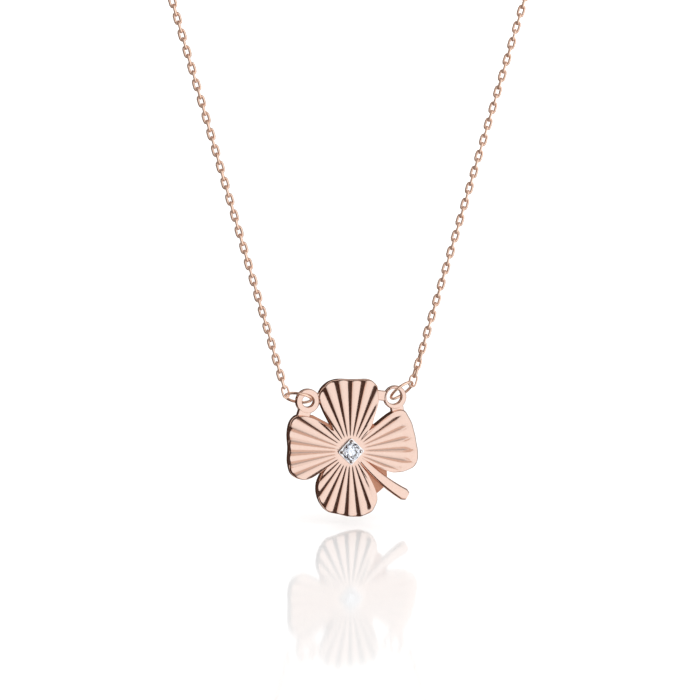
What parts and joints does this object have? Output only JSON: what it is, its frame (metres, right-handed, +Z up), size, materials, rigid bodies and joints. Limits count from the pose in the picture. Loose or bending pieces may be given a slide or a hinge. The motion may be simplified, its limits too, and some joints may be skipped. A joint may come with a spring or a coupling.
{
  "type": "clover pendant necklace",
  "caption": "Fluted clover pendant with a curved stem and a small square-set stone, held by ears and jump rings in the middle of a fine cable chain with a barrel clasp at the nape.",
  "frame": {"origin": "where the clasp lies against the nape of the neck, at the middle of the clasp's front", "axes": "+X to the right as seen from the front, +Y from the pendant back towards the nape, +Z up"},
  "size_m": [0.0904, 0.1032, 0.1363],
  "materials": {
    "rose_gold": "polished rose gold",
    "white_gold": "polished, rhodium-plated white gold",
    "diamond": "faceted and polished diamond"
  },
  "bodies": {
    "chain": {"chain_left": "rose_gold", "chain_right": "rose_gold", "end_link_left": "rose_gold", "end_link_right": "rose_gold", "clasp_link_left": "rose_gold", "clasp_link_right": "rose_gold", "jump_ring_left": "rose_gold", "jump_ring_right": "rose_gold", "clasp": "rose_gold"},
    "pendant": {"clover": "rose_gold", "setting": "white_gold", "diamond": "diamond"}
  },
  "joints": [
    {"name": "pendant_swing", "type": "hinge", "parent": "chain", "child": "pendant", "pos_m": [-0.00471, -0.09989, -0.12241], "axis": [1, 0, -0.0053], "range_deg": [-40, 15]}
  ]
}
